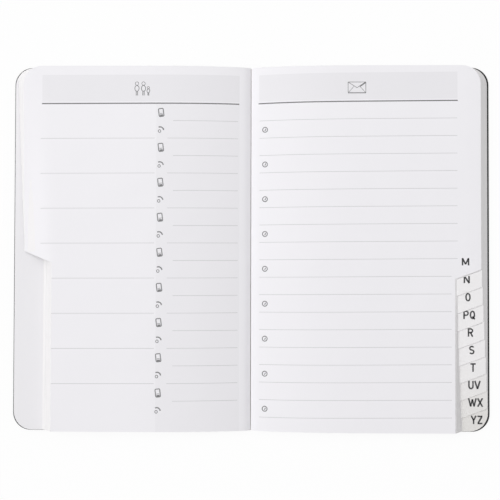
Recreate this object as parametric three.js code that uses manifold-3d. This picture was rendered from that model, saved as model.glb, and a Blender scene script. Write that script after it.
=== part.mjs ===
// Pocket address book with a stepped thumb index, lying open at the leaves L and M.
// Millimetres. X runs across the spread, +Y to the head of the pages, +Z up.
// The origin is on the underside of the spine, in the middle of its length.
import * as THREE from 'three';
import { mergeVertices } from 'three/addons/utils/BufferGeometryUtils.js';
import Module from 'manifold-3d';

const wasm = await Module();
wasm.setup();

// Cover sizes
const COVER_WIDTH = 90;
const COVER_HEIGHT = 139.6;
const COVER_CORNER_RADIUS = 6.8;
const BOARD_THICKNESS = 1.5;
const JOINT_STRIP_THICKNESS = 0.7;
const JOINT_STRIP_WIDTH = 2.4;
const OPEN_SPREAD = 1.3;
const CLOSED_HALF_THICKNESS = 6.9;

// Spine sizes
const SPINE_THICKNESS = 0.8;
const LINING_THICKNESS = 0.25;
const STRIP_CLEARANCE = 0.3;
const SPINE_END_SETBACK = 0.5;

// Paper sizes
const ENDPAPER_THICKNESS = 0.25;
const ENDPAPER_MARGIN = 0.8;
const PAGE_SQUARE = 0.25;
const PAGE_CORNER_RADIUS = 7.0;
const FRONT_MATTER_THICKNESS = 0.45;
const LEFT_TOP = 6.2;
const RIGHT_TOP = 6.6;

// Gutter sizes
const GUTTER_TOP = 3.0;
const GROOVE_DEPTH = 1.0;
const FOLD_HALF_WIDTH = 2.7;
const FOLD_CLEARANCE = 0.3;
const PAGE_RISE_REACH = 45;

// Thumb index sizes
const TAB_COUNT = 21;
const LAST_LEFT_TAB = 10;
const TAB_DEPTH = 9.9;
const LEFT_NOTCH_START = 0.68;
const LEFT_NOTCH_END = 1.33;
const RIGHT_NOTCH_START = 0.68;
const RIGHT_NOTCH_END = 1.23;

// How far each leaf's fore edge stays behind the edge of the cover
const FRONT_LEAF_SQUARE = 0.4;
const FIRST_TAB_SQUARE = 1.5;
const LEFT_TOP_SQUARE = 5.7;
const LAST_TAB_SQUARE = 0.8;
const RIGHT_TOP_SQUARE = 4.3;

// How finely round stretches are drawn
const CORNER_STEPS = 7;
const RISE_STEPS = 12;
const GROOVE_STEPS = 5;

// How far a cutting solid stands past what it cuts, and one layer bites into the next
const CUT_MARGIN = 1;
const LAYER_BITE = 0.01;

// Places worked out from the sizes
const coverEdge = COVER_WIDTH + OPEN_SPREAD;
const spineHalfWidth = CLOSED_HALF_THICKNESS - JOINT_STRIP_THICKNESS - STRIP_CLEARANCE;
const spineHalfHeight = COVER_HEIGHT / 2 - SPINE_END_SETBACK;
const stripStart = spineHalfWidth + STRIP_CLEARANCE;
const boardStart = stripStart + JOINT_STRIP_WIDTH;
const stackBottom = BOARD_THICKNESS + ENDPAPER_THICKNESS;
const stackStart = FOLD_HALF_WIDTH + FOLD_CLEARANCE;
const pageHalfHeight = COVER_HEIGHT / 2 - PAGE_SQUARE;
const frontLeafEdge = coverEdge - FRONT_LEAF_SQUARE;
const tabPitch = (2 * pageHalfHeight) / TAB_COUNT;
const foldBottom = SPINE_THICKNESS + LINING_THICKNESS;

function paint(color, roughness) {
  return new THREE.MeshStandardMaterial({ color, roughness, metalness: 0 });
}

function toSolid(geometry) {
  const bare = geometry.clone();
  bare.deleteAttribute('normal');
  bare.deleteAttribute('uv');
  const merged = mergeVertices(bare, 1e-5);
  const mesh = new wasm.Mesh({
    numProp: 3,
    vertProperties: new Float32Array(merged.attributes.position.array),
    triVerts: new Uint32Array(merged.index.array),
  });
  return new wasm.Manifold(mesh);
}

function toGeometry(solid) {
  const mesh = solid.getMesh();
  const geometry = new THREE.BufferGeometry();
  geometry.setAttribute('position', new THREE.BufferAttribute(mesh.vertProperties, 3));
  geometry.setIndex(new THREE.BufferAttribute(mesh.triVerts, 1));
  geometry.computeVertexNormals();
  return geometry;
}

function named(name, geometry, material) {
  const mesh = new THREE.Mesh(geometry, material);
  mesh.name = name;
  return mesh;
}

// A flat sheet drawn in plan between two heights
function plate(shape, bottom, top) {
  const geometry = new THREE.ExtrudeGeometry(shape, {
    depth: top - bottom,
    bevelEnabled: false,
    curveSegments: CORNER_STEPS,
  });
  return geometry.translate(0, 0, bottom);
}

// A cross-section drawn in X and Z, run along Y about the middle
function run(shape, halfLength) {
  const geometry = new THREE.ExtrudeGeometry(shape, {
    depth: 2 * halfLength,
    bevelEnabled: false,
    curveSegments: CORNER_STEPS,
  });
  geometry.translate(0, 0, -halfLength);
  return geometry.rotateX(Math.PI / 2);
}

function polygon(points) {
  return new THREE.Shape(points.map(([x, y]) => new THREE.Vector2(x, y)));
}

// Plan of a leaf or board from the spine side to the fore edge, with its outer corners round.
// side is -1 for the left half and 1 for the right half.
function roundedHalf(side, start, edge, halfHeight, radius) {
  const shape = new THREE.Shape();
  const top = halfHeight;
  const turn = side > 0;
  shape.moveTo(side * start, -top);
  shape.lineTo(side * (edge - radius), -top);
  const low = turn ? [-Math.PI / 2, 0] : [-Math.PI / 2, -Math.PI];
  shape.absarc(side * (edge - radius), -top + radius, radius, low[0], low[1], !turn);
  shape.lineTo(side * edge, top - radius);
  const high = turn ? [0, Math.PI / 2] : [Math.PI, Math.PI / 2];
  shape.absarc(side * (edge - radius), top - radius, radius, high[0], high[1], !turn);
  shape.lineTo(side * start, top);
  shape.closePath();
  return shape;
}

function rectangle(side, start, end, bottom, top) {
  return polygon([
    [side * start, bottom],
    [side * end, bottom],
    [side * end, top],
    [side * start, top],
  ]);
}

// Cover board with the thin strip beside the spine that folds
function cover(side) {
  const halfHeight = COVER_HEIGHT / 2;
  const board = roundedHalf(side, boardStart, coverEdge, halfHeight, COVER_CORNER_RADIUS);
  const reach = boardStart + CUT_MARGIN;
  const strip = rectangle(side, stripStart, reach, -halfHeight, halfHeight);
  const solid = toSolid(plate(board, 0, BOARD_THICKNESS));
  return toGeometry(solid.add(toSolid(plate(strip, 0, JOINT_STRIP_THICKNESS))));
}

function endpaper(side) {
  const edge = coverEdge - ENDPAPER_MARGIN;
  const halfHeight = COVER_HEIGHT / 2 - ENDPAPER_MARGIN;
  const radius = COVER_CORNER_RADIUS - ENDPAPER_MARGIN;
  return plate(roundedHalf(side, boardStart, edge, halfHeight, radius), BOARD_THICKNESS, stackBottom);
}

// Height of the open page over a point, rising from the gutter to the flat of the leaf
function pageHeight(distance, top) {
  const left = 1 - Math.min(distance / PAGE_RISE_REACH, 1);
  return GUTTER_TOP + (top - GUTTER_TOP) * (1 - left ** 3);
}

// Everything under the curved page, as a cross-section run over the page height
function underPage(side, top) {
  const far = coverEdge + CUT_MARGIN;
  const points = [];
  for (let step = 0; step <= RISE_STEPS; step += 1) {
    const distance = (PAGE_RISE_REACH * step) / RISE_STEPS;
    points.push([side * (stackStart + distance), pageHeight(distance, top)]);
  }
  points.push([side * far, top]);
  points.push([side * far, stackBottom - CUT_MARGIN]);
  points.push([side * stackStart, stackBottom - CUT_MARGIN]);
  return toSolid(run(polygon(points), pageHalfHeight + CUT_MARGIN));
}

// The part of a leaf below its own tab that is cut away, down to the tail of the page
function indexCut(side, tab, edge, notch, bottom, top) {
  const inner = edge - TAB_DEPTH;
  const far = edge + CUT_MARGIN;
  const outerY = pageHalfHeight - (tab + notch.start) * tabPitch;
  const innerY = pageHalfHeight - (tab + notch.end) * tabPitch;
  const tail = -pageHalfHeight - CUT_MARGIN;
  const outline = polygon([
    [side * inner, tail],
    [side * far, tail],
    [side * far, outerY],
    [side * edge, outerY],
    [side * inner, innerY],
  ]);
  return toSolid(plate(outline, bottom, top));
}

// Fore edge of a lettered group, set back evenly from the lowest group to the top one
function groupEdge(lowSquare, topSquare, share) {
  return coverEdge - lowSquare - (topSquare - lowSquare) * share;
}

// One lettered group of leaves
function leafGroup(side, tab, edge, notch, bottom, top) {
  const outline = roundedHalf(side, stackStart, edge, pageHalfHeight, PAGE_CORNER_RADIUS);
  const leaves = toSolid(plate(outline, bottom, top));
  if (tab >= TAB_COUNT - 1) {
    return leaves;
  }
  const cut = indexCut(side, tab, edge, notch, bottom - CUT_MARGIN, top + CUT_MARGIN);
  return leaves.subtract(cut);
}

// Left half: uncut front leaves, then the groups from tab A up to tab L on top
function leftPages() {
  const notch = { start: LEFT_NOTCH_START, end: LEFT_NOTCH_END };
  const groups = LAST_LEFT_TAB + 1;
  const firstBottom = stackBottom + FRONT_MATTER_THICKNESS;
  const thickness = (LEFT_TOP - firstBottom) / groups;
  const outline = roundedHalf(-1, stackStart, frontLeafEdge, pageHalfHeight, PAGE_CORNER_RADIUS);
  let solid = toSolid(plate(outline, stackBottom, firstBottom));
  for (let tab = 0; tab < groups; tab += 1) {
    const bottom = firstBottom + tab * thickness;
    const edge = groupEdge(FIRST_TAB_SQUARE, LEFT_TOP_SQUARE, tab / (groups - 1));
    solid = solid.add(leafGroup(-1, tab, edge, notch, bottom - LAYER_BITE, bottom + thickness));
  }
  return toGeometry(solid.intersect(underPage(-1, LEFT_TOP)));
}

// Right half: the last tab at the bottom and tab M on top, so that the tabs go down in steps
function rightPages() {
  const notch = { start: RIGHT_NOTCH_START, end: RIGHT_NOTCH_END };
  const groups = TAB_COUNT - 1 - LAST_LEFT_TAB;
  const thickness = (RIGHT_TOP - stackBottom) / groups;
  let solid = null;
  for (let layer = 0; layer < groups; layer += 1) {
    const tab = TAB_COUNT - 1 - layer;
    const bottom = stackBottom + layer * thickness;
    const edge = groupEdge(LAST_TAB_SQUARE, RIGHT_TOP_SQUARE, layer / (groups - 1));
    const bite = layer === 0 ? 0 : LAYER_BITE;
    const leaves = leafGroup(1, tab, edge, notch, bottom - bite, bottom + thickness);
    solid = solid === null ? leaves : solid.add(leaves);
  }
  return toGeometry(solid.intersect(underPage(1, RIGHT_TOP)));
}

// Sewn folds of the sheets: two round shoulders with the groove of the gutter between them
function sewnFold() {
  const points = [[FOLD_HALF_WIDTH, foldBottom]];
  for (let step = -GROOVE_STEPS; step <= GROOVE_STEPS; step += 1) {
    const across = -step / GROOVE_STEPS;
    const drop = GROOVE_DEPTH * (1 - Math.abs(across)) ** 2;
    points.push([FOLD_HALF_WIDTH * across, GUTTER_TOP - drop]);
  }
  points.push([-FOLD_HALF_WIDTH, foldBottom]);
  return run(polygon(points), pageHalfHeight);
}

function strip(halfWidth, halfHeight, bottom, top) {
  const outline = rectangle(1, -halfWidth, halfWidth, -halfHeight, halfHeight);
  return plate(outline, bottom, top);
}

const black = paint(0x18181b, 0.55);
const pagePaper = paint(0xf3f3f5, 0.85);
const endPaper = paint(0xe6e5e1, 0.85);
const linen = paint(0xd8d4c8, 0.9);

const notebook = new THREE.Group();
notebook.name = 'indexed_notebook';
notebook.add(named('spine_strip', strip(spineHalfWidth, spineHalfHeight, 0, SPINE_THICKNESS), black));
notebook.add(named('spine_lining', strip(FOLD_HALF_WIDTH, pageHalfHeight, SPINE_THICKNESS, foldBottom), linen));
notebook.add(named('sewn_fold', sewnFold(), pagePaper.clone()));
notebook.add(named('front_cover', cover(-1), black.clone()));
notebook.add(named('front_endpaper', endpaper(-1), endPaper));
notebook.add(named('left_pages', leftPages(), pagePaper));
notebook.add(named('back_cover', cover(1), black.clone()));
notebook.add(named('back_endpaper', endpaper(1), endPaper.clone()));
notebook.add(named('right_pages', rightPages(), pagePaper.clone()));

export default notebook;
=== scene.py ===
import math

import bpy
import numpy as np
from bpy.props import FloatProperty, FloatVectorProperty, PointerProperty
from bpy.types import Operator, Panel, PropertyGroup
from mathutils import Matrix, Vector


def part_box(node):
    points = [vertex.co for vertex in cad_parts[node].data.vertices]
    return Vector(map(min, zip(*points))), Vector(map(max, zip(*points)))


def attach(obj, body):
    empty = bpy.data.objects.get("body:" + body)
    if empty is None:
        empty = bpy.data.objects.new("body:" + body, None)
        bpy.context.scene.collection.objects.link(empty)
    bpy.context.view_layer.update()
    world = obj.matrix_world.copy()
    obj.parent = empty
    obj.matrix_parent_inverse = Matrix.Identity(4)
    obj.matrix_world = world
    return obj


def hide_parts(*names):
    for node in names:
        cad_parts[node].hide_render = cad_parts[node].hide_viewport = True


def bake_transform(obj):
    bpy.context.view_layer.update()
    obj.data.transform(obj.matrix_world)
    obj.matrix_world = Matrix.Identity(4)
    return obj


bl_info = {
    "name": "Indexed notebook",
    "version": (1, 0, 0),
    "blender": (4, 5, 0),
    "location": "View3D > Sidebar > Notebook",
    "description": "Dresses an open pocket address book: paper, print, index tabs and cover",
    "category": "Object",
}

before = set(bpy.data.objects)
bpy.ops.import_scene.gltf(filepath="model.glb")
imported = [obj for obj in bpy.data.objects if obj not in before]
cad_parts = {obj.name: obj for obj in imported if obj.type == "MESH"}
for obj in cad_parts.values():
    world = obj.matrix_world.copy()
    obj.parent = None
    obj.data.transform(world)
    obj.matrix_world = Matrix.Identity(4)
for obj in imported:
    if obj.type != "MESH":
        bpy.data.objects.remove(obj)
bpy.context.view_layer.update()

MM = 0.001
LEFT, RIGHT = -1, 1
FRONT_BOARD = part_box("front_cover")
LEFT_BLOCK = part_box("left_pages")
RIGHT_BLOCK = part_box("right_pages")
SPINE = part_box("spine_strip")
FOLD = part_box("sewn_fold")

COVER_EDGE = -FRONT_BOARD[0][0]
COVER_HALF = FRONT_BOARD[1][1]
BOARD_TOP = FRONT_BOARD[1][2]
SPINE_TOP = SPINE[1][2]
SPINE_HALF = SPINE[1][1]
STACK_START = RIGHT_BLOCK[0][0]
STACK_BOTTOM = RIGHT_BLOCK[0][2]
PAGE_HALF = RIGHT_BLOCK[1][1]
LOWEST_LEAF_EDGE = {LEFT: -LEFT_BLOCK[0][0], RIGHT: RIGHT_BLOCK[1][0]}
FOLD_BOTTOM = FOLD[0][2]
GUTTER_TOP = FOLD[1][2]
STACK_TOP = {LEFT: LEFT_BLOCK[1][2], RIGHT: RIGHT_BLOCK[1][2]}
BODY = {LEFT: "front_half", RIGHT: "back_half"}

# Thickness of one leaf inside the stacks, and the uncut leaves at the front counted in leaves
SHEET = 0.1 * MM
FRONT_LEAVES = 4.5

# How fast the painted shade and warm stain tone of the lowest tabs fades, as a share for each leaf up
LOW_TAB_SHADE_FADE = 0.045

INDEX_TABS = ["A", "B", "C", "D", "E", "F", "G", "H", "IJ", "K", "L",
              "M", "N", "O", "PQ", "R", "S", "T", "UV", "WX", "YZ"]
LAST_LEFT_TAB = INDEX_TABS.index("L")
TAB_PITCH = 2.0 * PAGE_HALF / len(INDEX_TABS)

# Where the slanted cut under a tab starts and ends, counted in tabs down from the tab's own top
NOTCH_START = 0.68
NOTCH_END = {LEFT: 1.33, RIGHT: 1.23}

# Rows and columns of the leaf surfaces. The corner rows cover a little more than the corner radius,
# as a share of half the page's height
CORNER_SHARE = 0.101
CORNER_ROWS, EVEN_ROWS, NOTCH_ROWS = 9, 29, 7
GROUP_COLUMNS, PAGE_COLUMNS = 20, 44

# Where a group of leaves starts beside the gutter, in millimetres: at the bottom of the stack, and
# how much nearer at the top
GROUP_START, GROUP_DRAWN_IN = 2.5, 2.2

# The open page starts nearer still and lies a hair above its group, with the ink a hair above it
PAGE_START = 0.12 * MM
PAGE_LIFT = 0.005 * MM
INK_LIFT = 0.012 * MM
LETTER_LIFT = 0.02 * MM

# Stretch of the page, up and down from M's notch, over which its lower leaves slant out
NOTCH_STRETCH = 6.0 * MM

# Print on the open pages in millimetres: from and to, across from the gutter
HEAD_SPAN = {LEFT: (-79.7, -4.5), RIGHT: (2.9, 78.3)}
BAND_SPAN = {LEFT: (-79.6, -4.4), RIGHT: (3.1, 78.2)}
BAND_GAP = 0.75
PHONE_COLUMN = (-36.0, -4.4)
NAME_RULES = (-80.2, -36.6)
PHONE_RULES = (-29.6, -5.0)
ADDRESS_RULES = (3.3, 78.1)

# Beside the index cut the rules are shorter, and between two entries the phone rules are longer
NAME_RULE_CUT, ADDRESS_RULE_CUT, PHONE_RULE_MORE = 3.2, 2.3, 2.2
CUT_ROW = 9.5
LAST_ROW = {LEFT: 17.5, RIGHT: 18.5}

# The print leans on the sheet, as on trimmed pages: where it is level, and its slope
PRINT_LEAN = {LEFT: (-40.0, 0.0035), RIGHT: (40.0, 0.0078)}

# How strongly the printed fields and lines cover the paper
FIELD_GREY = 0.885
COLUMN_COVER, BAND_COVER, RULE_COVER, HEAD_COVER = 0.32, 0.6, 0.9, 0.95

# The signs on the pages, in millimetres from the middle of the book, and the rows they start at
PEOPLE_PLACE = (-41.7, 60.9)
ENVELOPE_PLACE = (40.2, 61.1)
PHONE_SIGN_X, PHONE_SIGN_LEAN = -34.6, 0.0084
MAIL_SIGN_X = 5.4
ENTRIES = 9
FIRST_PHONE_ROW, FIRST_MAIL_ROW = 0.53, 1.56

# The cover from the middle of the spine out: end of the stiff strip, width of a slope from one
# thickness to the next and how early it starts before the board, how far past the joint the close
# columns reach, and the stretch over which the cover's ends are drawn in to the spine
STRIP_END = 5.2 * MM
SLOPE_WIDTH = 1.0 * MM
SLOPE_LEAD = 0.4 * MM
CLOSE_REACH = 1.2 * MM
DRAWN_WIDTH = 2.4 * MM
COVER_ROWS, COVER_CORNER_ROWS = 41, 13
CLOSE_COLUMNS, BOARD_COLUMNS = 22, 20

# Smallest angles, in degrees, between faces that count as an edge
LEAF_EDGE, RIM_EDGE, COVER_EDGE_ANGLE = 40, 50, 60
RIM_SEGMENTS = 3

# Lamps as size and place in metres, and the camera's place beside the middle and its turn
KEY_LAMP = (1.6, (-1.5, 0.6, 2.45))
HEAD_LAMP = (0.35, (0.0, 0.38, 0.5))
CAMERA_X, CAMERA_Y = 3.75 * MM, -6.54 * MM
CAMERA_TURN = (0.0188, 0.0127, 0.0021)
FLOOR_REACH = 3.0
FLOOR_WHITE = 0.92

# Index letters in a box one wide and one high: straight strokes from point to point, then bows as
# centre, radii, first and last angle
LETTER_LINES = {
    "M": [((0, 0), (0, 1)), ((0, 1), (0.5, 0.15)), ((0.5, 0.15), (1, 1)), ((1, 1), (1, 0))],
    "N": [((0, 0), (0, 1)), ((0, 1), (1, 0)), ((1, 0), (1, 1))],
    "P": [((0, -0.09), (0, 1.09)), ((0, 0.45), (0.5, 0.45)), ((0, 1), (0.5, 1))],
    "Q": [((0.55, 0.28), (1.05, -0.12))],
    "R": [((0, -0.09), (0, 1.09)), ((0, 0.48), (0.5, 0.48)), ((0, 1), (0.5, 1)),
          ((0.5, 0.48), (1, -0.09))],
    "T": [((0.5, -0.09), (0.5, 1)), ((-0.15, 1), (1.15, 1))],
    "U": [((0, 0.35), (0, 1.09)), ((1, 0.35), (1, 1.09))],
    "V": [((-0.1, 1.09), (0.5, -0.05)), ((0.5, -0.05), (1.1, 1.09))],
    "W": [((-0.05, 1.09), (0.25, -0.05)), ((0.25, -0.05), (0.5, 0.95)),
          ((0.5, 0.95), (0.75, -0.05)), ((0.75, -0.05), (1.05, 1.09))],
    "X": [((-0.1, -0.09), (1.1, 1.09)), ((-0.1, 1.09), (1.1, -0.09))],
    "Y": [((0.5, -0.09), (0.5, 0.45)), ((0.5, 0.45), (-0.1, 1.09)), ((0.5, 0.45), (1.1, 1.09))],
    "Z": [((-0.1, 1), (1.1, 1)), ((1, 1), (0, 0)), ((-0.1, 0), (1.1, 0))],
}
LETTER_BOWS = {
    "O": [((0.5, 0.5), (0.5, 0.5), 0, 360)],
    "P": [((0.5, 0.725), (0.5, 0.275), -90, 90)],
    "Q": [((0.5, 0.5), (0.5, 0.5), 0, 360)],
    "R": [((0.5, 0.74), (0.5, 0.26), -90, 90)],
    "S": [((0.5, 0.75), (0.48, 0.25), 25, 270), ((0.5, 0.25), (0.5, 0.25), -155, 90)],
    "U": [((0.5, 0.35), (0.5, 0.35), 180, 360)],
}
WIDE_LETTERS = {"M": 1.35, "W": 1.5, "N": 1.1, "V": 1.05}


def length(name, description, default):
    """Property for a length in metres."""
    return FloatProperty(name=name, description=description, default=default,
                         subtype="DISTANCE", unit="LENGTH", precision=5)


def colour(name, description, default):
    """Property for a colour."""
    return FloatVectorProperty(name=name, description=description, default=default,
                               subtype="COLOR", size=3, min=0.0, max=1.0)


class LeafSizes(PropertyGroup):
    leaf: length("Leaf", "Thickness of the top leaf on each side", 0.11 * MM)
    rise: length("Rise", "How far from the gutter the open page keeps rising", 45 * MM)
    groove: length("Groove", "How deep the page dips into the gutter", 0.95 * MM)
    corner: length("Corner", "Radius of the leaves' outer corners", 7.0 * MM)
    front_matter: length("Front leaves", "Thickness of the uncut leaves before tab A",
                         FRONT_LEAVES * SHEET)
    first_edge: length("First tab edge", "Gutter to fore edge of the leaves of tab A", 89.8 * MM)
    left_edge: length("Left leaf edge", "Gutter to fore edge of the top left leaf", 86.8 * MM)
    left_tab: length("Left tab depth", "Depth of the index cut on the left leaves", 11.1 * MM)
    right_edge: length("Right leaf edge", "Gutter to fore edge of the top right leaf", 87.0 * MM)
    tab_depth: length("Tab depth", "How far the index is cut into the leaves", 9.9 * MM)
    lip: length("Lip", "How far the leaves droop at their free edge", 0.12 * MM)
    lip_width: length("Lip width", "Width of the stretch that droops", 2.4 * MM)
    slant: length("Slant", "How far M's lower leaves stand past the upper ones at its notch", 0.35 * MM)
    lean: length("Lean", "How far they stand past them along the index cut", 0.2 * MM)
    lean_reach: length("Lean reach", "Length of the cut with a stronger lean at the top", 40.0 * MM)
    lean_more: FloatProperty(name="Lean more", description="Added share of lean at the top of the cut",
                             default=1.2)
    sag: FloatProperty(name="Sag", description="Share of the empty height under the left tabs that "
                       "they sag into", default=0.85)


class PrintSizes(PropertyGroup):
    pitch: length("Pitch", "Distance between two rules", 6.656 * MM)
    left_head: length("Left head line", "Height of the left head line on the page", 55.2 * MM)
    right_head: length("Right head line", "Height of the right head line on the page", 55.85 * MM)
    head_line: length("Head line", "Width of the line under the heading", 0.44 * MM)
    rule: length("Rule", "Width of a rule", 0.16 * MM)
    band: length("Heading band", "Height of the tinted band over the head line", 10.2 * MM)
    letter: length("Letter", "Cap height of the index letters", 3.3 * MM)
    letter_width: length("Letter width", "Width of a usual index letter", 2.1 * MM)
    letter_gap: length("Letter gap", "Space between two letters of one tab", 0.3 * MM)
    pen: length("Pen", "Width of the letters' strokes", 0.58 * MM)
    letter_x: length("Letters across", "Gutter to the middle of the M", 81.05 * MM)
    letter_y: length("Letters up", "Height of the middle of the M on the page", -4.95 * MM)
    letter_pitch: length("Letter pitch", "Step down the page from letter to letter", 6.69 * MM)
    letter_shift: length("Letter shift", "Step out from letter to letter", 0.575 * MM)


class PaperColours(PropertyGroup):
    paper: colour("Paper", "White of the leaves", (0.868, 0.857, 0.886))
    block: colour("Leaves", "Leaves under the open pages", (0.872, 0.859, 0.867))
    # Painted shade: the uncut front leaves seen through the index cut get a greyer paper colour
    front_leaf_shade: colour("Front leaves", "Uncut leaves before tab A", (0.815, 0.805, 0.828))
    # Dark colour of the cut edges, mixed in as fine lines: painted shade between the leaves and on the
    # cut walls
    edges: colour("Edges", "Cut edges of the leaves", (0.52, 0.51, 0.505))
    # Painted shade with a warm stain tone, mixed into the lowest tabs
    low_tab_shade_and_stain: colour("Low tab", "Lowest tabs, mixed in towards the back cover", (0.72, 0.705, 0.68))
    rule: colour("Rules", "Printed rules", (0.50, 0.495, 0.505))
    ink: colour("Ink", "Index letters", (0.045, 0.045, 0.047))
    grey_ink: colour("Grey ink", "Signs and head line", (0.17, 0.17, 0.175))
    lining: colour("Lining", "Strip over the sewn folds", (0.66, 0.63, 0.57))
    endpaper: colour("Endpaper", "Sheets pasted inside the boards", (0.83, 0.825, 0.82))


class CoverLook(PropertyGroup):
    corner: length("Corner", "Radius of the board's outer corners", 6.8 * MM)
    edge: length("Edge", "Rounding of the wrapped board edge", 0.22 * MM)
    wrap: length("Wrap", "Thickness of the folding strip by the spine", 0.7 * MM)
    groove: length("Joint", "Gutter to the start of the stiff board", 8.6 * MM)
    black: colour("Black", "Colour of the wrapped cover", (0.012, 0.012, 0.013))


class StageLook(PropertyGroup):
    floor: colour("Floor", "Colour of the floor", (0.9, 0.9, 0.9))
    key: FloatProperty(name="Key", description="Power of the large lamp far to the left", default=46.6,
                       unit="POWER")
    head: FloatProperty(name="Head lamp", description="Power of the lamp past the head", default=0.40,
                        unit="POWER")
    fill: FloatProperty(name="Fill", description="Strength of the even light all round", default=0.472)
    distance: length("Camera height", "Camera over the table", 0.32)
    focal: FloatProperty(name="Focal length", description="Lens of the camera", default=59.64,
                         unit="CAMERA")


class Wire:
    """A shader socket that adds a Math node for each operator used on it."""

    def __init__(self, recipe, socket):
        self.recipe = recipe
        self.socket = socket

    def math(self, operation, *others):
        inputs = {0: self}
        inputs.update({place + 1: other for place, other in enumerate(others)})
        return self.recipe.add("ShaderNodeMath", {"operation": operation}, inputs)

    def flipped(self, operation, other):
        return self.recipe.add("ShaderNodeMath", {"operation": operation}, {0: other, 1: self})

    def __add__(self, other):
        return self.math("ADD", other)

    __radd__ = __add__

    def __sub__(self, other):
        return self.math("SUBTRACT", other)

    def __rsub__(self, other):
        return self.flipped("SUBTRACT", other)

    def __mul__(self, other):
        return self.math("MULTIPLY", other)

    __rmul__ = __mul__

    def __truediv__(self, other):
        return self.math("DIVIDE", other)

    def above(self, other):
        return self.math("GREATER_THAN", other)

    def below(self, other):
        return self.math("LESS_THAN", other)

    def size(self):
        return self.math("ABSOLUTE")

    def whole(self):
        return self.math("ROUND")

    def most(self, other):
        return self.math("MAXIMUM", other)


class Recipe:
    """A node material, or the nodes of a world, built up one node at a time."""

    def __init__(self, name, world=None):
        self.material = world or bpy.data.materials.new(name)
        self.material.use_nodes = True
        self.tree = self.material.node_tree
        self.tree.nodes.clear()

    def add(self, kind, settings=None, inputs=None, output=0):
        """Adds a node of this type, sets it first, then fills its sockets by name or number."""
        node = self.tree.nodes.new(kind)
        for key, value in (settings or {}).items():
            setattr(node, key, value)
        for key, value in (inputs or {}).items():
            if isinstance(value, Wire):
                self.tree.links.new(value.socket, node.inputs[key])
            else:
                node.inputs[key].default_value = value
        return Wire(self, node.outputs[output])

    def sheet_place(self):
        """Place on the sheet in millimetres, from the piece's own map."""
        sheet = self.add("ShaderNodeUVMap", {"uv_map": "sheet"})
        across = self.add("ShaderNodeSeparateXYZ", inputs={0: sheet})
        return sheet, across, Wire(self, across.socket.node.outputs[1])

    def noise(self, place, scale, detail=2.0, roughness=0.5):
        settings = {"noise_dimensions": "3D"}
        inputs = {"Vector": place, "Scale": scale, "Detail": detail, "Roughness": roughness}
        return self.add("ShaderNodeTexNoise", settings, inputs)

    def mix(self, factor, first, second):
        """Colour that goes from first to second as factor goes from 0 to 1."""
        inputs = {"Factor": factor, 6: first, 7: second}
        return self.add("ShaderNodeMix", {"data_type": "RGBA"}, inputs, output=2)

    def bump(self, height, depth, strength=1.0):
        inputs = {"Height": height, "Distance": depth, "Strength": strength}
        return self.add("ShaderNodeBump", inputs=inputs)

    def finish(self, base, roughness, normal=None, **fixed):
        """Material with this base colour and roughness, and with fixed values for other sockets."""
        inputs = {"Base Color": base, "Roughness": roughness}
        if normal is not None:
            inputs["Normal"] = normal
        inputs.update({name.replace("_", " "): value for name, value in fixed.items()})
        surface = self.add("ShaderNodeBsdfPrincipled", inputs=inputs)
        self.add_output(surface)
        return self.material

    def seen(self):
        """1 for rays from the camera and for what gloss and glass show, and 0 for light on its way."""
        path = self.add("ShaderNodeLightPath")
        outputs = path.socket.node.outputs
        glossy = Wire(self, outputs["Is Glossy Ray"])
        return path.most(glossy).most(Wire(self, outputs["Is Transmission Ray"]))

    def add_output(self, surface, kind="ShaderNodeOutputMaterial"):
        output = self.tree.nodes.new(kind)
        self.tree.links.new(surface.socket, output.inputs["Surface"])


def rgba(value, gain=1.0):
    """Opaque colour, made lighter or darker by the gain."""
    return (value[0] * gain, value[1] * gain, value[2] * gain, 1.0)


def within(value, low, high):
    """1 where value lies between low and high, and 0 elsewhere."""
    return value.above(low) * value.below(high)


def paper_grain(recipe, sheet, roughness=0.62):
    """Fine fibre grain of smooth paper, as a bump and a slight change of roughness."""
    fibre = recipe.noise(sheet, 9.0, detail=4.0, roughness=0.6)
    ripple = recipe.noise(sheet, 0.06, detail=1.0)
    normal = recipe.bump(fibre * 0.004 + ripple * 0.25, MM)
    return normal, fibre * 0.1 + roughness


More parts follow.
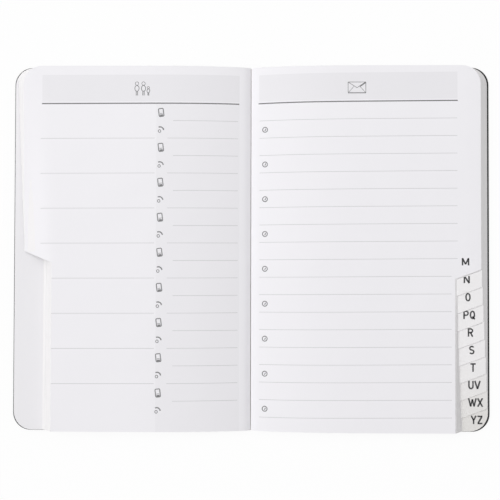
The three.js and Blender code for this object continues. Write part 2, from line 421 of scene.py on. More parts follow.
def printed_paper(side, lines, colours):
    """Page with its printed fields: heading band, head line, rules and, on the left, two columns."""
    recipe = Recipe("left_page_print" if side == LEFT else "right_page_print")
    sheet, x, y = recipe.sheet_place()
    paper = rgba(colours.paper)
    field = rgba(colours.paper, FIELD_GREY)
    level, slope = PRINT_LEAN[side]
    y = y - (x - level) * slope
    head = (lines.left_head if side == LEFT else lines.right_head) / MM
    pitch = lines.pitch / MM
    step = (y * -1.0 + head) / pitch
    row = step.whole()
    off_rule = (step - row).size() * pitch
    on_rule = off_rule.below(lines.rule / MM / 2)
    base = recipe.mix(recipe.noise(sheet, 0.035, detail=2.0) * 0.25, paper, rgba(colours.paper, 0.965))
    if side == LEFT:
        phone_column = within(x, *PHONE_COLUMN) * y.below(head)
        base = recipe.mix(phone_column * COLUMN_COVER, base, field)
        even_row = (row * 0.5 - (row * 0.5).whole()).size().below(0.1)
        beside_cut = within(row, CUT_ROW, LAST_ROW[LEFT])
        name_start = beside_cut * NAME_RULE_CUT + NAME_RULES[0]
        name_rows = even_row * within(row, 1.5, LAST_ROW[LEFT])
        name_rules = x.above(name_start) * x.below(NAME_RULES[1]) * name_rows
        phone_start = even_row * -PHONE_RULE_MORE + PHONE_RULES[0]
        phone_rows = within(row, 0.5, LAST_ROW[LEFT])
        phone_rules = x.above(phone_start) * x.below(PHONE_RULES[1]) * phone_rows
        ruled = name_rules.most(phone_rules)
    else:
        rule_end = row.above(CUT_ROW) * -ADDRESS_RULE_CUT + ADDRESS_RULES[1]
        ruled = x.above(ADDRESS_RULES[0]) * x.below(rule_end) * within(row, 0.5, LAST_ROW[RIGHT])
    base = recipe.mix(on_rule * ruled * RULE_COVER, base, rgba(colours.rule))
    band_foot = head + BAND_GAP
    band = within(x, *BAND_SPAN[side]) * within(y, band_foot, band_foot + lines.band / MM)
    base = recipe.mix(band * BAND_COVER, base, field)
    head_line = within(x, *HEAD_SPAN[side]) * (y - head).size().below(lines.head_line / MM / 2)
    base = recipe.mix(head_line * HEAD_COVER, base, rgba(colours.grey_ink, 0.75))
    normal, roughness = paper_grain(recipe, sheet)
    return recipe.finish(base, roughness, normal)


def leaf_edge_paper(colours):
    """Block of leaves: plain paper on the flats, fine leaf lines of painted shade where the edges are
    cut.
    """
    recipe = Recipe("leaf_edges")
    sheet, _, along = recipe.sheet_place()
    leaf_map = recipe.add("ShaderNodeUVMap", {"uv_map": "leaves"})
    split = recipe.add("ShaderNodeSeparateXYZ", inputs={0: leaf_map})
    on_edge = Wire(recipe, split.socket.node.outputs[1])
    leaf = Wire(recipe, split.socket)
    lines = recipe.add("ShaderNodeCombineXYZ", inputs={0: leaf * 0.35, 1: along * 0.012})
    streak = recipe.noise(lines, 1.0, detail=5.0, roughness=0.75)
    # Leaf lines on the cut edges: noise darkens them towards the edge colour, as painted shade between
    # the leaves
    shade = (streak - 0.5) * 1.7 * on_edge
    fibre = recipe.noise(sheet, 9.0, detail=3.0)
    cloud = recipe.noise(sheet, 0.05) * 0.3
    flat = recipe.mix(cloud, rgba(colours.block), rgba(colours.block, 0.96))
    front_leaf_shade = leaf.below(FRONT_LEAVES + 0.1)
    # The lowest tabs are a little darker and warmer than the rest: the darkening is painted shade low in
    # the stack, the warm tone stands for yellowish stains
    low = (1.0 - leaf * LOW_TAB_SHADE_FADE).most(0.0) * (1.0 - on_edge)
    flat = recipe.mix(low, flat, rgba(colours.low_tab_shade_and_stain))
    # The flats of the uncut front leaves, marked by their low leaf numbers, take the greyer colour:
    # painted shade deep under the cut stack
    flat = recipe.mix(front_leaf_shade * (1.0 - on_edge), flat, rgba(colours.front_leaf_shade))
    base = recipe.mix(shade, flat, rgba(colours.edges))
    normal = recipe.bump(fibre * 0.004 + streak * on_edge * 0.05, MM)
    return recipe.finish(base, fibre * 0.1 + 0.64, normal)


def plain_sheet(name, tint, weave=0.0):
    """Endpaper or lining: flat tint with a faint fibre, and a crossed weave on cloth."""
    recipe = Recipe(name)
    place = recipe.add("ShaderNodeTexCoord", output=3)
    fibre = recipe.noise(place, 2500.0, detail=3.0)
    cloud = recipe.noise(place, 60.0)
    base = recipe.mix(cloud * 0.5, rgba(tint), rgba(tint, 0.93))
    height = fibre * 0.02
    if weave:
        split = recipe.add("ShaderNodeSeparateXYZ", inputs={0: place})
        across = split * weave
        along = Wire(recipe, split.socket.node.outputs[1]) * weave
        height = across.math("SINE") * along.math("SINE") * 0.5 + height
    return recipe.finish(base, fibre * 0.1 + 0.7, recipe.bump(height, 0.02 * MM))


def black_cover(look):
    """Black wrapped board: pebbled grain with fine creases, slightly polished on the high spots."""
    recipe = Recipe("cover_black")
    sheet = recipe.add("ShaderNodeUVMap", {"uv_map": "sheet"})
    cells = recipe.add("ShaderNodeTexVoronoi", {"feature": "DISTANCE_TO_EDGE"},
                       {"Vector": sheet, "Scale": 2.1, "Randomness": 1.0})
    crease = cells.math("SMOOTH_MIN", 0.22, 0.1)
    fine = recipe.noise(sheet, 7.0, detail=3.0)
    scuff = recipe.noise(sheet, 0.12, detail=4.0, roughness=0.65)
    normal = recipe.bump(crease * 0.16 + fine * 0.03, MM, strength=0.8)
    base = recipe.mix(crease * 3.0 * scuff, rgba(look.black), rgba(look.black, 2.0))
    return recipe.finish(base, scuff * 0.2 + 0.46 - crease * 0.2, normal, Specular_IOR_Level=0.3)


def plain_ink(name, tint):
    """Printed ink: even tint that lets a little of the paper grain through."""
    recipe = Recipe(name)
    place = recipe.add("ShaderNodeTexCoord", output=3)
    speckle = recipe.noise(place, 4000.0, detail=2.0)
    base = recipe.mix(speckle * 0.3, rgba(tint), rgba(tint, 1.5))
    return recipe.finish(base, speckle * 0.1 + 0.55)


def new_piece(name, vertices, faces, material, smooth=True):
    """Mesh object at the origin, with its place in its vertices."""
    mesh = bpy.data.meshes.new(name)
    mesh.from_pydata(vertices.tolist(), [], faces.tolist())
    mesh.update()
    mesh.polygons.foreach_set("use_smooth", np.full(len(mesh.polygons), smooth))
    piece = bpy.data.objects.new(name, mesh)
    bpy.context.collection.objects.link(piece)
    mesh.materials.append(material)
    return piece


def corner_vertices(mesh):
    """Number of the vertex at each face corner."""
    numbers = np.empty(len(mesh.loops), dtype=np.int32)
    mesh.loops.foreach_get("vertex_index", numbers)
    return numbers


def add_map(mesh, name, values):
    """Stores one pair of numbers for each face corner as a UV map."""
    layer = mesh.uv_layers.new(name=name)
    layer.data.foreach_set("uv", values.astype(np.float32).ravel())


def add_sheet(piece, places):
    """Stores each vertex's place on the sheet, in millimetres."""
    add_map(piece.data, "sheet", places[corner_vertices(piece.data)])


def grid_faces(rows, columns, offset=0):
    """Quads of a grid of rows by columns points, counted row by row."""
    row, column = np.meshgrid(np.arange(rows - 1), np.arange(columns - 1), indexing="ij")
    corner = (row * columns + column).ravel() + offset
    return np.stack([corner, corner + 1, corner + columns + 1, corner + columns], axis=1)


def smooth_step(value):
    """Three squares less two cubes of the value, which is held between 0 and 1."""
    held = np.clip(value, 0.0, 1.0)
    return held * held * (3.0 - 2.0 * held)


def page_height(x, side, leaves):
    """Height of the open page: from the gutter it rises as one minus the cube of the way left to go,
    and inside the sewn fold it drops on in the same slope plus a cube into the groove."""
    top = STACK_TOP[side]
    rise = top - GUTTER_TOP
    left_to_go = 1.0 - np.clip((x - STACK_START) / leaves.rise, 0.0, 1.0)
    outer = GUTTER_TOP + rise * (1.0 - left_to_go ** 3)
    inside = np.clip(STACK_START - x, 0.0, None)
    slope = 3.0 * rise / leaves.rise
    return outer - slope * inside - leaves.groove * (inside / STACK_START) ** 3


def block_bottom(x):
    """Underside of the leaves: flat on the endpaper, drawn down to the lining near the spine."""
    share = smooth_step((x - STACK_START) / (3.0 * STACK_START))
    return FOLD_BOTTOM + (STACK_BOTTOM - FOLD_BOTTOM) * share


def leaf_rows(notch):
    """Places up the page where a leaf's outline needs points: its corners, its notch and between."""
    inward = CORNER_SHARE * (1.0 - np.cos(np.linspace(0.0, math.pi / 2, CORNER_ROWS)))
    rows = np.concatenate([np.linspace(-1.0, 1.0, EVEN_ROWS), 1.0 - inward, -1.0 + inward])
    if notch is not None:
        outer, inner = notch
        steps = np.linspace(outer, inner, NOTCH_ROWS)
        rows = np.concatenate([rows, steps / PAGE_HALF, [(inner - 0.02 * MM) / PAGE_HALF]])
    return np.unique(np.round(np.clip(rows, -1.0, 1.0), 7)) * PAGE_HALF


def rounded_end(y, edge, radius, half):
    """Distance from the gutter to a straight edge with a quarter circle at both corners."""
    into_corner = np.clip(np.abs(y) - (half - radius), 0.0, radius)
    return edge - radius + np.sqrt(np.maximum(radius ** 2 - into_corner ** 2, 0.0))


def fore_edge(y, edge, leaves, notch, depth):
    """Distance from the gutter to the fore edge at each height: the rounded end and, below its own
    tab, a slanted step in to the index cut."""
    reach = rounded_end(y, edge, leaves.corner, PAGE_HALF)
    if notch is None:
        return reach
    outer, inner = notch
    share = np.clip((outer - y) / (outer - inner), 0.0, 1.0)
    cut = edge - depth * share
    return np.where(y < outer, np.minimum(reach, cut), reach)


def notch_of(tab, side):
    """Heights of the outer and inner end of the slanted cut under a tab, or nothing on the last tab."""
    if tab is None or tab >= len(INDEX_TABS) - 1:
        return None
    return PAGE_HALF - (tab + NOTCH_START) * TAB_PITCH, PAGE_HALF - (tab + NOTCH_END[side]) * TAB_PITCH


def droop(x, edge, leaves):
    """How far a leaf droops near its free edge, as a smooth step over the width of the lip."""
    return smooth_step((x - edge + leaves.lip_width) / leaves.lip_width) * leaves.lip


def sag(x, y, side, tab, leaves):
    """How far a left tab sinks into the space over the cut tabs below it. One more group is missing on
    each row down, and each is cut one step nearer the gutter. A share of the missing height is taken
    up smoothly towards the fore edge, as far as the cut edges below leave room."""
    if side == RIGHT or tab is None:
        return 0.0
    group = (STACK_TOP[LEFT] - STACK_BOTTOM - leaves.front_matter) / (LAST_LEFT_TAB + 1)
    step = (leaves.first_edge - leaves.left_edge) / LAST_LEFT_TAB
    row = (PAGE_HALF - y) / TAB_PITCH
    missing = np.clip(row - 1.0, 0.0, tab)
    cut = leaves.first_edge - leaves.left_tab - step * np.clip(row - 2.0, 0.0, tab)
    room = group * np.clip((x - cut) / step, 0.0, missing)
    wanted = leaves.sag * group * missing * smooth_step((x - cut) / (leaves.left_edge - cut))
    return np.where(row <= tab + NOTCH_END[LEFT], np.minimum(room, wanted), 0.0)


def leaf_grid(side, tab, y, reach, start, share, edge, leaves, columns):
    """Points of one surface in the stack: rows up the page by columns out to the fore edge, at a share
    of the height from the underside of the leaves to the open page."""
    near = np.linspace(0.0, 1.0, columns)
    spread = 0.55 * near ** 2.2 + 0.45 * (1.0 - (1.0 - near) ** 1.6)
    x = start + (reach[:, None] - start) * spread[None, :]
    bottom = block_bottom(x)
    top = page_height(x, side, leaves) - leaves.leaf
    z = bottom + (top - bottom) * share
    rows = np.repeat(y[:, None], columns, axis=1)
    if share > 0.0:
        z = z - droop(x, edge, leaves) - sag(x, rows, side, tab, leaves)
    return np.stack([x, rows, z], axis=2)


def leaf_group(side, tab, edges, shares, start, leaves, columns):
    """Under and upper surface of one lettered group. Both have the same outline, but the lower leaves
    stand out further: by the difference of the two edges and, under M, by the slant at the notch and
    by the lean along the cut, which fades smoothly from its top down."""
    notch = notch_of(tab, side)
    y = leaf_rows(notch)
    depth = leaves.left_tab if side == LEFT else leaves.tab_depth
    reach = fore_edge(y, edges[1], leaves, notch, depth)
    under_y = y
    fan = edges[0] - edges[1]
    if tab == LAST_LEFT_TAB + 1 and shares[0] < shares[1]:
        near_notch = smooth_step(1.0 - np.abs(y - sum(notch) / 2.0) / NOTCH_STRETCH)
        under_y = y - leaves.slant * near_notch
        near_top = smooth_step(1.0 + (y - notch[1]) / leaves.lean_reach)
        lean = leaves.lean * (1.0 + leaves.lean_more * near_top)
        fan = fan + lean * smooth_step((notch[0] - y) / (notch[0] - notch[1]))
    under = leaf_grid(side, tab, under_y, reach + fan, start, shares[0], edges[0], leaves, columns)
    over = leaf_grid(side, tab, y, reach, start, shares[1], edges[1], leaves, columns)
    return under, over


def close_shell(side, under, over):
    """Vertices and quads of a slab: both grids, then a strip of walls round the edge. Also gives the
    number of quads before the walls."""
    rows, columns = over.shape[:2]
    count = rows * columns
    vertices = np.concatenate([under.reshape(-1, 3), over.reshape(-1, 3)]) * [side, 1.0, 1.0]
    faces_over = grid_faces(rows, columns, count)
    faces_under = grid_faces(rows, columns, 0)[:, ::-1]
    ring = np.concatenate([
        np.arange(columns),
        np.arange(2 * columns - 1, count, columns),
        np.arange(count - 2, count - columns - 1, -1),
        np.arange(count - 2 * columns, 0, -columns),
    ])
    following = np.roll(ring, -1)
    wall = np.stack([ring, following, following + count, ring + count], axis=1)
    faces = np.concatenate([faces_over, faces_under, wall])
    if side == LEFT:
        faces = faces[:, ::-1]
    return vertices, faces, len(faces) - len(wall)


def add_leaves(piece, numbers, marks):
    """Stores the leaf's number, counted from the bottom, with a mark on the cut edges."""
    numbers = numbers[corner_vertices(piece.data)]
    add_map(piece.data, "leaves", np.stack([numbers, marks], axis=1))


class NOTEBOOK_OT_leaf_groups(Operator):
    """Stacks the lettered groups of leaves under both open pages, cut for the index"""
    bl_idname = "notebook.leaf_groups"
    bl_label = "Leaf groups"

    def execute(self, context):
        leaves = context.scene.notebook_leaves
        material = leaf_edge_paper(context.scene.notebook_paper)
        for side in (LEFT, RIGHT):
            self.stack(side, leaves, material)
        return {"FINISHED"}

    def groups(self, side, leaves):
        """Tabs from the bottom up, the shares of the height between them, and their fore edges."""
        if side == LEFT:
            tabs = [None] + list(range(LAST_LEFT_TAB + 1))
            height = STACK_TOP[LEFT] - STACK_BOTTOM
            first = leaves.front_matter / height
            cuts = np.concatenate([[0.0], np.linspace(first, 1.0, len(tabs))])
            edges = np.linspace(leaves.first_edge, leaves.left_edge, len(tabs) - 1)
            edges = np.concatenate([[LOWEST_LEAF_EDGE[LEFT]], edges])
        else:
            tabs = list(range(len(INDEX_TABS) - 1, LAST_LEFT_TAB, -1))
            cuts = np.linspace(0.0, 1.0, len(tabs) + 1)
            edges = np.linspace(LOWEST_LEAF_EDGE[RIGHT], leaves.right_edge, len(tabs))
        return tabs, cuts, edges

    def stack(self, side, leaves, material):
        """Slabs from the bottom up, one for each group between two shares of the stack's height."""
        tabs, cuts, edges = self.groups(side, leaves)
        parts, quads, numbers, marks = [], [], [], []
        offset = 0
        leaves_per_stack = (STACK_TOP[side] - STACK_BOTTOM) / SHEET
        for place, tab in enumerate(tabs):
            low, high = cuts[place], cuts[place + 1]
            start = (GROUP_START - GROUP_DRAWN_IN * low) * MM
            pair = (edges[max(place - 1, 0)], edges[place])
            grids = leaf_group(side, tab, pair, (low, high), start, leaves, GROUP_COLUMNS)
            vertices, faces, flats = close_shell(side, *grids)
            parts.append(vertices)
            quads.append(faces + offset)
            half = len(vertices) // 2
            numbers.append(np.repeat([low, high], half) * leaves_per_stack)
            marks.append(np.repeat(np.arange(len(faces)) >= flats, 4))
            offset += len(vertices)
        vertices = np.concatenate(parts)
        name = "left_leaves" if side == LEFT else "right_leaves"
        piece = new_piece(name, vertices, np.concatenate(quads), material)
        add_sheet(piece, vertices[:, :2] / MM)
        add_leaves(piece, np.concatenate(numbers), np.concatenate(marks))
        piece.data.set_sharp_from_angle(angle=math.radians(LEAF_EDGE))
        side * 2.2 * MM
        side * 4.6 * MM
        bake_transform(piece)
        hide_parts("left_pages" if side == LEFT else "right_pages", "sewn_fold")


class NOTEBOOK_OT_open_pages(Operator):
    """Lays the two printed pages that the book is open at over the stacks"""
    bl_idname = "notebook.open_pages"
    bl_label = "Open pages"

    def execute(self, context):
        leaves = context.scene.notebook_leaves
        lines = context.scene.notebook_print
        colours = context.scene.notebook_paper
        for side in (LEFT, RIGHT):
            material = printed_paper(side, lines, colours)
            self.page(side, leaves, material)
        return {"FINISHED"}

    def page(self, side, leaves, material):
        """Top leaf of one side: its group's outline and height, one leaf thick."""
        tab = LAST_LEFT_TAB if side == LEFT else LAST_LEFT_TAB + 1
        edge = leaves.left_edge if side == LEFT else leaves.right_edge
        ends = (edge, edge), (1.0, 1.0)
        under, over = leaf_group(side, tab, *ends, PAGE_START, leaves, PAGE_COLUMNS)
        under = under + [0.0, 0.0, PAGE_LIFT]
        over = over + [0.0, 0.0, leaves.leaf]
        vertices, faces, _ = close_shell(side, under, over)
        name = "left_open_page" if side == LEFT else "right_open_page"
        piece = new_piece(name, vertices, faces, material)
        add_sheet(piece, vertices[:, :2] / MM)
        piece.data.set_sharp_from_angle(angle=math.radians(LEAF_EDGE))
        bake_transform(piece)


def stroke(points, width, closed=False):
    """Flat ribbon of even width along a line of points: each point is moved half the width to both
    sides, square to the direction between its neighbours."""
    line = np.asarray(points, dtype=float)
    if closed:
        ahead = np.roll(line, -1, axis=0) - np.roll(line, 1, axis=0)
    else:
        ahead = np.gradient(line, axis=0)
    ahead /= np.linalg.norm(ahead, axis=1)[:, None]
    across = np.stack([-ahead[:, 1], ahead[:, 0]], axis=1) * width / 2
    vertices = np.concatenate([line - across, line + across])
    count = len(line)
    near = np.arange(count if closed else count - 1)
    far = (near + 1) % count
    return vertices, np.stack([near, far, far + count, near + count], axis=1)


def arc(centre, radii, start, end, count=16):
    """Points on an ellipse from one angle to another, in degrees."""
    angle = np.radians(np.linspace(start, end, count))
    across = centre[0] + radii[0] * np.cos(angle)
    up = centre[1] + radii[1] * np.sin(angle)
    return np.stack([across, up], axis=1)


def ring(centre, radii, width, count=20):
    """Ribbon along a whole ellipse."""
    return stroke(arc(centre, radii, 0, 360, count + 1)[:-1], width, closed=True)


def straight(start, end, width, count=5):
    """Ribbon from one point to another."""
    return stroke(np.linspace(start, end, count), width)


def turned(shapes, degrees):
    """Ribbons turned to the left about the middle of the sign."""
    turn = math.radians(degrees)
    matrix = np.array([[math.cos(turn), math.sin(turn)], [-math.sin(turn), math.cos(turn)]])
    return [(points @ matrix, faces) for points, faces in shapes]


def people_sign():
    """Three plain standing figures, two tall and one short: a round head over a long round body."""
    shapes = []
    for x, foot, tall in ((-1.75, -2.75, 5.2), (0.75, -2.75, 5.2), (2.6, -2.75, 3.4)):
        head = tall * 0.125
        shapes.append(ring((x, foot + tall - head), (head, head), 0.2, 14))
        shapes.append(ring((x, foot + tall * 0.52), (tall * 0.155, tall * 0.215), 0.24))
        shapes.append(straight((x - tall * 0.05, foot), (x - tall * 0.05, foot + tall * 0.32), 0.26))
        shapes.append(straight((x + tall * 0.05, foot), (x + tall * 0.05, foot + tall * 0.32), 0.26))
    return shapes


def envelope_sign():
    """Closed envelope with its flap, and a pen that lies on its upper right corner."""
    wide, high = 3.35, 2.05
    return [
        straight((-wide, -high), (wide, -high), 0.34),
        straight((-wide, high), (wide, high), 0.2),
        straight((-wide, -high), (-wide, high), 0.2),
        straight((wide, -high), (wide, high), 0.2),
        straight((-wide, high), (0.0, -0.1), 0.2),
        straight((0.0, -0.1), (wide, high), 0.2),
        straight((-wide, -high), (-1.1, 0.45), 0.16),
        straight((wide, -high), (1.1, 0.45), 0.16),
        straight((1.0, 0.35), (3.2, 1.85), 0.5),
    ]


def mobile_sign():
    """Small hand telephone: a round-cornered case with its screen and a dark foot."""
    places = ((0.55, 1.15), (-0.55, 1.15), (-0.55, -1.15), (0.55, -1.15))
    corners = [arc(place, (0.35, 0.35), 90 * quarter, 90 * quarter + 90, 5)
               for quarter, place in enumerate(places)]
    shapes = [stroke(np.concatenate(corners), 0.36, closed=True)]
    shapes.append(straight((-0.6, -1.05), (0.6, -1.05), 0.62))
    shapes.append(straight((-0.55, -0.35), (0.55, -0.35), 0.2))
    return turned(shapes, 7)


def handset_sign():
    """Desk telephone's handset: a thick bow with a round at its lower end."""
    shapes = [stroke(arc((-0.35, -0.15), (1.35, 1.3), 5, 115, 12), 0.44)]
    shapes.append(ring((-0.55, -0.45), (0.48, 0.52), 0.26, 14))
    return shapes


def mail_sign():
    """Small ring with a bar through its middle, for an electronic address."""
    shapes = [ring((0.0, 0.0), (0.92, 0.95), 0.34)]
    shapes.append(straight((-0.05, -0.45), (0.3, 0.4), 0.34))
    return shapes


def place_signs(shapes, side, centre, leaves, parts):
    """Adds a sign's ribbons to parts, on the open page and a hair above it, in metres."""
    for points, faces in shapes:
        x = (points[:, 0] + centre[0]) * MM
        y = (points[:, 1] + centre[1]) * MM
        z = page_height(np.abs(x), side, leaves) + INK_LIFT
        parts.append((np.stack([x, y, z], axis=1), faces))


def join_parts(parts):
    """Vertices and quads of all parts as one mesh."""
    vertices, faces, offset = [], [], 0
    for points, quads in parts:
        vertices.append(points)
        faces.append(quads + offset)
        offset += len(points)
    return np.concatenate(vertices), np.concatenate(faces)


class NOTEBOOK_OT_page_signs(Operator):
    """Prints the small grey signs on the two open pages"""
    bl_idname = "notebook.page_signs"
    bl_label = "Page signs"

    def execute(self, context):
        leaves = context.scene.notebook_leaves
        lines = context.scene.notebook_print
        ink = context.scene.notebook_paper.grey_ink
        pitch = lines.pitch / MM
        left, right = [], []
        place_signs(people_sign(), LEFT, PEOPLE_PLACE, leaves, left)
        place_signs(envelope_sign(), RIGHT, ENVELOPE_PLACE, leaves, right)
        for entry in range(ENTRIES):
            row = lines.left_head / MM - (FIRST_PHONE_ROW + 2 * entry) * pitch
            for sign in (mobile_sign(), handset_sign()):
                place = (PHONE_SIGN_X + row * PHONE_SIGN_LEAN, row)
                place_signs(sign, LEFT, place, leaves, left)
                row -= pitch
            row = lines.right_head / MM - (FIRST_MAIL_ROW + 2 * entry) * pitch
            place_signs(mail_sign(), RIGHT, (MAIL_SIGN_X, row), leaves, right)
        material = plain_ink("grey_ink", ink)
        for side, parts, name in ((LEFT, left, "left_page_signs"), (RIGHT, right, "right_page_signs")):
            vertices, faces = join_parts(parts)
            piece = new_piece(name, vertices, faces, material, smooth=False)
            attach(piece, BODY[side])
        return {"FINISHED"}


def letter_strokes(letter, wide, high, pen):
    """One capital drawn with an even pen in a box, standing on the middle of its foot."""
    box = np.array([wide - pen, high - pen])
    corner = np.array([-0.5 * box[0], 0.5 * pen])
    shapes = []
    for start, end in LETTER_LINES.get(letter, []):
        shapes.append(straight(corner + box * start, corner + box * end, pen))
    for centre, radii, first, last in LETTER_BOWS.get(letter, []):
        shapes.append(stroke(arc(corner + box * centre, box * radii, first, last), pen))
    return shapes


class NOTEBOOK_OT_index_letters(Operator):
    """Prints the letters on the tabs that show at the right fore edge"""
    bl_idname = "notebook.index_letters"
    bl_label = "Index letters"

    def execute(self, context):
        leaves = context.scene.notebook_leaves
        lines = context.scene.notebook_print
        parts = []
        tabs = INDEX_TABS[LAST_LEFT_TAB + 1:]
        for step, body in enumerate(tabs):
            centre = (lines.letter_x + lines.letter_shift * step) / MM
            foot = (lines.letter_y - lines.letter_pitch * step - lines.letter / 2) / MM
            share = 1.0 - step / len(tabs)
            self.tab(body, centre, foot, share, leaves, lines, parts)
        vertices, faces = join_parts(parts)
        material = plain_ink("letter_ink", context.scene.notebook_paper.ink)
        piece = new_piece("index_letters", vertices, faces, material, smooth=False)
        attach(piece, BODY[RIGHT])
        return {"FINISHED"}

    def tab(self, body, centre, foot, share, leaves, lines, parts):
        """Sets one tab's letters side by side about their middle."""
        pen, high, gap = lines.pen / MM, lines.letter / MM, lines.letter_gap / MM
        widths = [lines.letter_width / MM * WIDE_LETTERS.get(letter, 1.0) for letter in body]
        left = centre - (sum(widths) + gap * (len(body) - 1)) / 2
        for letter, wide in zip(body, widths):
            for points, faces in letter_strokes(letter, wide, high, pen):
                x = (points[:, 0] + left + wide / 2) * MM
                y = (points[:, 1] + foot) * MM
                z = self.tab_top(x, share, leaves) + LETTER_LIFT
                parts.append((np.stack([x, y, z], axis=1), faces))
            left += wide + gap

    def tab_top(self, x, share, leaves):
        """Height of the tab that a letter is printed on, from its share of the stack."""
        top = page_height(x, RIGHT, leaves)
        if share == 1.0:
            return top
        below = top - leaves.leaf
        return block_bottom(x) + (below - block_bottom(x)) * share


class NOTEBOOK_OT_cover(Operator):
    """Wraps each board and its half of the spine in one black skin"""
    bl_idname = "notebook.cover"
    bl_label = "Cover"

    def execute(self, context):
        look = context.scene.notebook_cover
        material = black_cover(look)
        for side in (LEFT, RIGHT):
            self.half(side, look, material)
        return {"FINISHED"}

    def half(self, side, look, material):
        """Closed slab: rows up the cover, columns from the spine's middle to the fore edge. Its top is
        the spine strip, a thin joint and the board, and its rim rounds over as a quarter circle."""
        corner_share = look.corner / COVER_HALF
        inward = corner_share * (1.0 - np.cos(np.linspace(0.0, math.pi / 2, COVER_CORNER_ROWS)))
        rows = np.concatenate([np.linspace(-1.0, 1.0, COVER_ROWS), 1.0 - inward, -1.0 + inward])
        y = np.unique(np.round(rows, 7)) * COVER_HALF
        reach = rounded_end(y, COVER_EDGE, look.corner, COVER_HALF)
        inner = np.linspace(0.0, look.groove + CLOSE_REACH, CLOSE_COLUMNS)
        outer = np.linspace(0.0, 1.0, BOARD_COLUMNS)[1:]
        span = reach[:, None] - inner[-1]
        x = np.concatenate([np.repeat(inner[None, :], len(y), axis=0), inner[-1] + span * outer], axis=1)
        rows = np.repeat(y[:, None], x.shape[1], axis=1)
        past_strip = smooth_step((x - STRIP_END) / SLOPE_WIDTH)
        joint = look.wrap + (SPINE_TOP - look.wrap) * (1.0 - past_strip)
        board = smooth_step((x - look.groove + SLOPE_LEAD) / SLOPE_WIDTH)
        top = joint + (BOARD_TOP - joint) * board
        drawn_in = (COVER_HALF - SPINE_HALF) * (1.0 - smooth_step((x - STRIP_END) / DRAWN_WIDTH))
        rows = rows * (1.0 - drawn_in / COVER_HALF)
        under = np.stack([x, rows, np.zeros_like(x)], axis=2)
        vertices, faces, _ = close_shell(side, under, np.stack([x, rows, top], axis=2))
        name = "front_case" if side == LEFT else "back_case"
        piece = new_piece(name, vertices, faces, material)
        add_sheet(piece, vertices[:, :2] / MM + vertices[:, 2:] / MM)
        bevel = piece.modifiers.new("edge", "BEVEL")
        bevel.width = look.edge
        bevel.segments = RIM_SEGMENTS
        bevel.limit_method = "ANGLE"
        bevel.angle_limit = math.radians(RIM_EDGE)
        bpy.context.view_layer.objects.active = piece
        bpy.ops.object.modifier_apply(modifier="edge")
        piece.data.set_sharp_from_angle(angle=math.radians(COVER_EDGE_ANGLE))
        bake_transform(piece)
        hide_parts("front_cover" if side == LEFT else "back_cover", "spine_strip")


class NOTEBOOK_OT_linings(Operator):
    """Gives the endpapers and the spine lining their paper and cloth"""
    bl_idname = "notebook.linings"
    bl_label = "Endpapers and lining"

    def execute(self, context):
        colours = context.scene.notebook_paper
        endpaper = plain_sheet("endpaper", colours.endpaper)
        lining = plain_sheet("spine_lining", colours.lining, weave=9000.0)
        for node in ("front_endpaper", "back_endpaper"):
            self.dress(node, endpaper)
        self.dress("spine_lining", lining)
        return {"FINISHED"}

    def dress(self, node, material):
        """Gives a solid of the frame this material alone."""
        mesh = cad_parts[node].data
        mesh.materials.clear()
        mesh.materials.append(material)


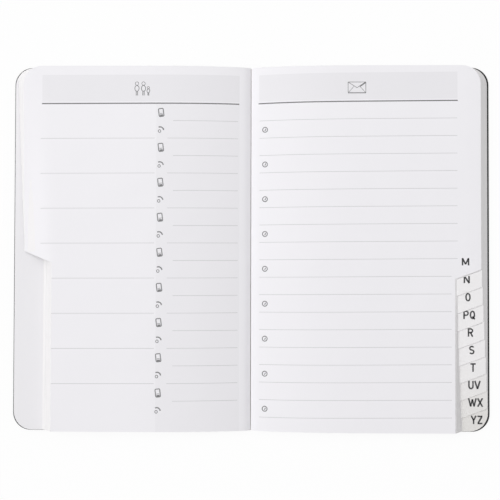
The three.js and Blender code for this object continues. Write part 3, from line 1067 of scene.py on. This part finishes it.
class NOTEBOOK_OT_stage(Operator):
    """Sets the pale floor, the soft lamps and the camera over the book"""
    bl_idname = "notebook.stage"
    bl_label = "Stage"

    def execute(self, context):
        stage = context.scene.notebook_stage
        self.floor(stage)
        self.lamps(stage)
        self.camera(stage)
        context.scene.view_settings.view_transform = "Standard"
        return {"FINISHED"}

    def floor(self, stage):
        """Wide square under the book: white to the camera, and pale where light falls on it."""
        recipe = Recipe("pale_floor")
        paint = recipe.add("ShaderNodeBsdfDiffuse", inputs={"Color": rgba(stage.floor)})
        white = recipe.add("ShaderNodeEmission", inputs={"Color": (1, 1, 1, 1), "Strength": 1.0})
        inputs = {0: recipe.seen() * FLOOR_WHITE, 1: paint, 2: white}
        mixed = recipe.add("ShaderNodeMixShader", inputs=inputs)
        recipe.add_output(mixed)
        corners = np.array([[-1, -1, 0], [1, -1, 0], [1, 1, 0], [-1, 1, 0]]) * FLOOR_REACH
        corners = corners - [0, 0, 0.05 * MM]
        floor = new_piece("floor", corners, np.array([[0, 1, 2, 3]]), recipe.material)

    def lamps(self, stage):
        """Even light from all round, white to the camera, and two soft lamps."""
        world = bpy.data.worlds.new("studio")
        recipe = Recipe("studio", world)
        strength = recipe.seen() * (1.0 - stage.fill) + stage.fill
        inputs = {"Color": (1, 1, 1, 1), "Strength": strength}
        light = recipe.add("ShaderNodeBackground", inputs=inputs)
        recipe.add_output(light, "ShaderNodeOutputWorld")
        bpy.context.scene.world = world
        self.lamp("key", stage.key, *KEY_LAMP)
        self.lamp("head_lamp", stage.head, *HEAD_LAMP)

    def lamp(self, name, power, size, place):
        """Square lamp that shines on the middle of the book."""
        light = bpy.data.lights.new(name, "AREA")
        light.size = size
        light.energy = power
        lamp = bpy.data.objects.new(name, light)
        lamp.location = place
        lamp.rotation_euler = Vector(place).to_track_quat("Z", "Y").to_euler()
        bpy.context.collection.objects.link(lamp)

    def camera(self, stage):
        """Camera over the middle, turned a little, as fitted to the photo."""
        lens = bpy.data.cameras.new("camera")
        lens.sensor_width = 36.0
        lens.lens = stage.focal
        camera = bpy.data.objects.new("camera", lens)
        camera.location = (CAMERA_X, CAMERA_Y, stage.distance)
        camera.rotation_euler = CAMERA_TURN
        bpy.context.collection.objects.link(camera)
        bpy.context.scene.camera = camera


class NOTEBOOK_PT_sidebar(Panel):
    """Lists the steps that dress the book"""
    bl_idname = "NOTEBOOK_PT_sidebar"
    bl_label = "Indexed notebook"
    bl_space_type = "VIEW_3D"
    bl_region_type = "UI"
    bl_category = "Notebook"

    def draw(self, context):
        for step in STEPS:
            self.layout.operator(step.bl_idname)


STEPS = (NOTEBOOK_OT_cover, NOTEBOOK_OT_linings, NOTEBOOK_OT_leaf_groups, NOTEBOOK_OT_open_pages,
         NOTEBOOK_OT_page_signs, NOTEBOOK_OT_index_letters, NOTEBOOK_OT_stage)
GROUPS = {"notebook_leaves": LeafSizes, "notebook_print": PrintSizes, "notebook_paper": PaperColours,
          "notebook_cover": CoverLook, "notebook_stage": StageLook}


def register():
    """Adds the settings, the operators and the panel."""
    for name, group in GROUPS.items():
        bpy.utils.register_class(group)
        setattr(bpy.types.Scene, name, PointerProperty(type=group))
    for step in STEPS + (NOTEBOOK_PT_sidebar,):
        bpy.utils.register_class(step)


def unregister():
    """Takes them away again."""
    for step in reversed(STEPS + (NOTEBOOK_PT_sidebar,)):
        bpy.utils.unregister_class(step)
    for name, group in GROUPS.items():
        delattr(bpy.types.Scene, name)
        bpy.utils.unregister_class(group)


def run_step(step):
    """Calls one operator and stops if it doesn't finish."""
    group, name = step.bl_idname.split(".")
    result = getattr(getattr(bpy.ops, group), name)()
    if result != {"FINISHED"}:
        raise RuntimeError(step.bl_label + " didn't finish")


def main():
    """Dresses the book step by step."""
    register()
    for step in STEPS:
        run_step(step)


if __name__ == "__main__":
    main()
